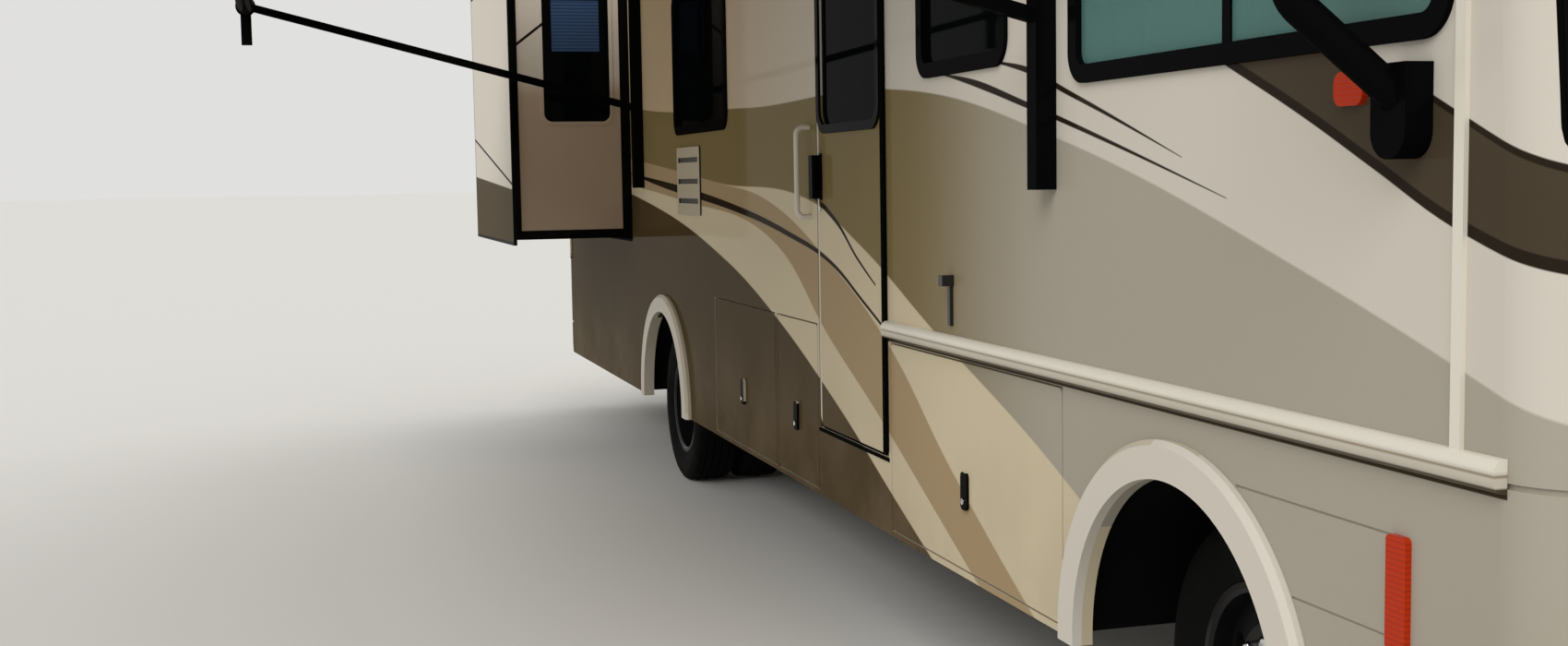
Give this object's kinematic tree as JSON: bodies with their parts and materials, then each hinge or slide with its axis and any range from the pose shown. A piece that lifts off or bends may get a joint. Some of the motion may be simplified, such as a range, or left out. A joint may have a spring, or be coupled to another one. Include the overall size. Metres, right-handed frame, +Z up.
{
  "type": "motorhome",
  "caption": "Front-engine motorhome with a room extended on each side, a patio awning, a hinged entry door, top-hinged bay lids, steering and rolling wheels.",
  "frame": {"origin": "on the ground under the centreline of the coach, midway along it", "axes": "+Z up, -Y to the front, +X to the street side, -X to the curb side with the entry door"},
  "size_m": [5.52, 10.79, 3.675],
  "materials": {
    "body_panel": "gel-coated laminate with a clear coat over painted bands",
    "roof_skin": "satin moulded skin",
    "glazing": "dark tinted safety glass",
    "black_trim": "powder-coated black",
    "lens": "clear, amber and red lenses",
    "bright_tube": "anodised tube",
    "awning_cloth": "woven awning cloth with soft graded bands",
    "chassis_steel": "black chassis paint",
    "engine_iron": "plain casting",
    "exhaust_steel": "dull steel tube",
    "tank_plastic": "black moulded sheet",
    "floor_board": "laminated floor board",
    "tyre_rubber": "black rubber",
    "polished_rim": "polished wheel",
    "cab_trim": "grained dark moulding",
    "seat_cover": "tan cover with seams"
  },
  "bodies": {
    "coach": {"awning_arms": "black_trim", "awning_channels": "black_trim", "awning_fabric": "awning_cloth", "awning_roller": "bright_tube", "baggage_bays": "tank_plastic", "belt_mouldings": "body_panel", "cab_seats": "seat_cover", "chassis_rails": "chassis_steel", "cross_members": "chassis_steel", "curb_wall": "body_panel", "dashboard": "cab_trim", "driveline": "chassis_steel", "engine_block": "engine_iron", "exhaust": "exhaust_steel", "floor": "floor_board", "floor_risers": "chassis_steel", "front_axle": "chassis_steel", "front_cap": "body_panel", "fuel_tank": "tank_plastic", "grille": "black_trim", "hitch_receiver": "chassis_steel", "ladder": "bright_tube", "lamps": "lens", "mirrors": "black_trim", "rear_axle": "chassis_steel", "rear_cap": "body_panel", "roof": "roof_skin", "roof_units": "roof_skin", "side_skirts": "body_panel", "step_well": "tank_plastic", "street_wall": "body_panel", "suspension": "chassis_steel", "wall_fittings": "black_trim", "wheel_wells": "tank_plastic", "window_frames": "black_trim", "window_glass": "glazing", "windscreen": "glazing"},
    "curb_steering": {"curb_knuckle": "chassis_steel"},
    "street_steering": {"street_knuckle": "chassis_steel"},
    "front_curb_wheel": {"front_curb_tyre": "tyre_rubber", "front_curb_rim": "polished_rim"},
    "front_street_wheel": {"front_street_tyre": "tyre_rubber", "front_street_rim": "polished_rim"},
    "rear_curb_wheel": {"rear_curb_tyre": "tyre_rubber", "rear_curb_rim": "polished_rim"},
    "rear_street_wheel": {"rear_street_tyre": "tyre_rubber", "rear_street_rim": "polished_rim"},
    "entry_door_leaf": {"entry_door": "body_panel", "entry_door_glass": "glazing"},
    "curb_room": {"curb_slide": "body_panel", "curb_slide_glass": "glazing"},
    "street_room": {"street_slide": "body_panel", "street_slide_glass": "glazing"},
    "curb_bay_lid_front": {"curb_bay_door_front": "body_panel"},
    "curb_bay_lid_middle": {"curb_bay_door_middle": "body_panel"},
    "curb_bay_lid_rear": {"curb_bay_door_rear": "body_panel"},
    "street_bay_lid_front": {"street_bay_door_front": "body_panel"},
    "street_bay_lid_rear": {"street_bay_door_rear": "body_panel"},
    "front_access_lid": {"front_access_door": "body_panel"}
  },
  "joints": [
    {"name": "curb_steer", "type": "hinge", "parent": "coach", "child": "curb_steering", "pos_m": [-0.815, -3.921, 0.419], "axis": [0, 0, 1], "range_deg": [-36, 36]},
    {"name": "street_steer", "type": "hinge", "parent": "coach", "child": "street_steering", "pos_m": [0.815, -3.921, 0.419], "axis": [0, 0, 1], "range_deg": [-36, 36]},
    {"name": "front_curb_spin", "type": "hinge", "parent": "curb_steering", "child": "front_curb_wheel", "pos_m": [-0.95, -3.921, 0.419], "axis": [1, 0, 0], "continuous": true},
    {"name": "front_street_spin", "type": "hinge", "parent": "street_steering", "child": "front_street_wheel", "pos_m": [0.95, -3.921, 0.419], "axis": [1, 0, 0], "continuous": true},
    {"name": "rear_curb_spin", "type": "hinge", "parent": "coach", "child": "rear_curb_wheel", "pos_m": [-0.9405, 1.869, 0.419], "axis": [1, 0, 0], "continuous": true},
    {"name": "rear_street_spin", "type": "hinge", "parent": "coach", "child": "rear_street_wheel", "pos_m": [0.9405, 1.869, 0.419], "axis": [1, 0, 0], "continuous": true},
    {"name": "entry_door_hinge", "type": "hinge", "parent": "coach", "child": "entry_door_leaf", "pos_m": [-1.305, -1.863, 1.7], "axis": [0, 0, -1], "range_deg": [-170, 0]},
    {"name": "curb_room_slide", "type": "slide", "parent": "coach", "child": "curb_room", "axis": [1, 0, 0], "range_m": [0, 0.69]},
    {"name": "street_room_slide", "type": "slide", "parent": "coach", "child": "street_room", "axis": [-1, 0, 0], "range_m": [0, 0.69]},
    {"name": "curb_bay_front_hinge", "type": "hinge", "parent": "coach", "child": "curb_bay_lid_front", "pos_m": [-1.275, -2.6, 1.1], "axis": [0, 1, 0], "range_deg": [0, 95]},
    {"name": "curb_bay_middle_hinge", "type": "hinge", "parent": "coach", "child": "curb_bay_lid_middle", "pos_m": [-1.275, -0.737, 1.1], "axis": [0, 1, 0], "range_deg": [0, 95]},
    {"name": "curb_bay_rear_hinge", "type": "hinge", "parent": "coach", "child": "curb_bay_lid_rear", "pos_m": [-1.275, 0.14, 1.1], "axis": [0, 1, 0], "range_deg": [0, 95]},
    {"name": "street_bay_front_hinge", "type": "hinge", "parent": "coach", "child": "street_bay_lid_front", "pos_m": [1.275, -2.6, 1.1], "axis": [0, -1, 0], "range_deg": [0, 95]},
    {"name": "street_bay_rear_hinge", "type": "hinge", "parent": "coach", "child": "street_bay_lid_rear", "pos_m": [1.275, 0.14, 1.1], "axis": [0, -1, 0], "range_deg": [0, 95]},
    {"name": "front_access_hinge", "type": "hinge", "parent": "coach", "child": "front_access_lid", "pos_m": [0, -5.335, 1.564], "axis": [-1, 0, 0], "range_deg": [0, 75]}
  ],
  "couplings": [
    {"joint": "street_steer", "follows": "curb_steer", "ratio": 1}
  ]
}
